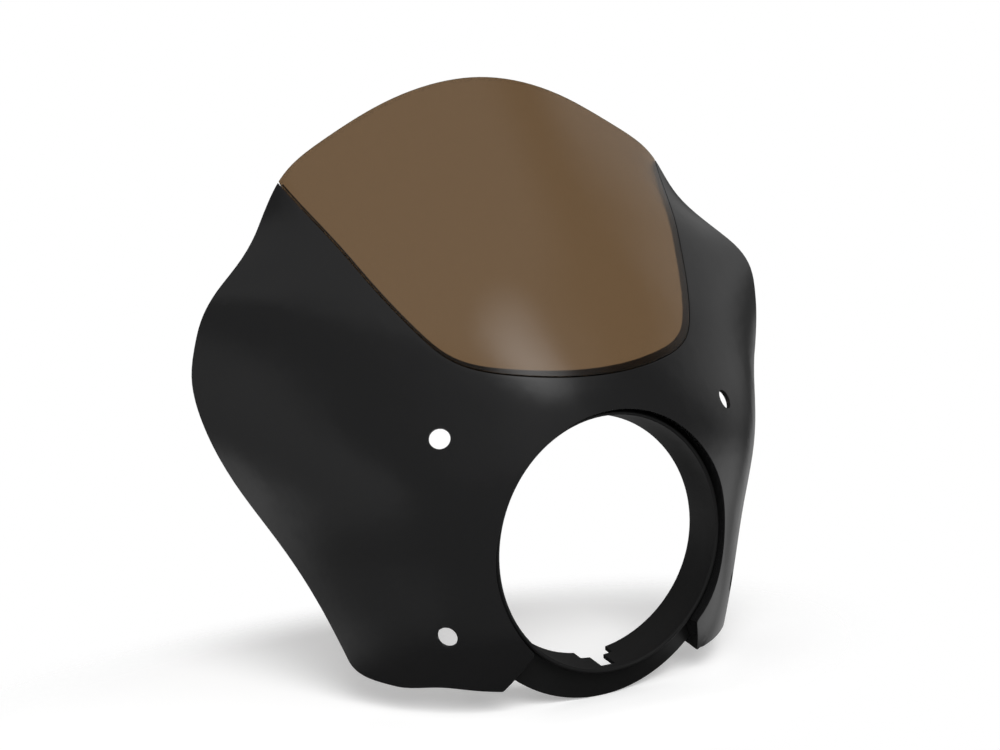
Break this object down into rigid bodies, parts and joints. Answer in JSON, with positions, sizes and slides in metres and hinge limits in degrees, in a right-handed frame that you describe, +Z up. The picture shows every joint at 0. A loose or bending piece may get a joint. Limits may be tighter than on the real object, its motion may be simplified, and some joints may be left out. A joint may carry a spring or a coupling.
{
  "type": "quarter fairing",
  "caption": "Motorcycle quarter fairing: a moulded gloss shell with flared sides, a tinted windscreen let into its top, and a collared round headlight opening with a chin below it.",
  "frame": {"origin": "centre of the headlight opening, where its straight wall begins at the front", "axes": "-Y is the way the headlight looks, X is the width and Z is up"},
  "size_m": [0.5008, 0.1854, 0.4496],
  "materials": {
    "shell": "gloss black",
    "screen": "dark bronze tint",
    "ring": "satin black"
  },
  "bodies": {
    "root": {"fairing_shell": "shell", "windscreen": "screen", "headlight_ring": "ring"}
  },
  "joints": []
}
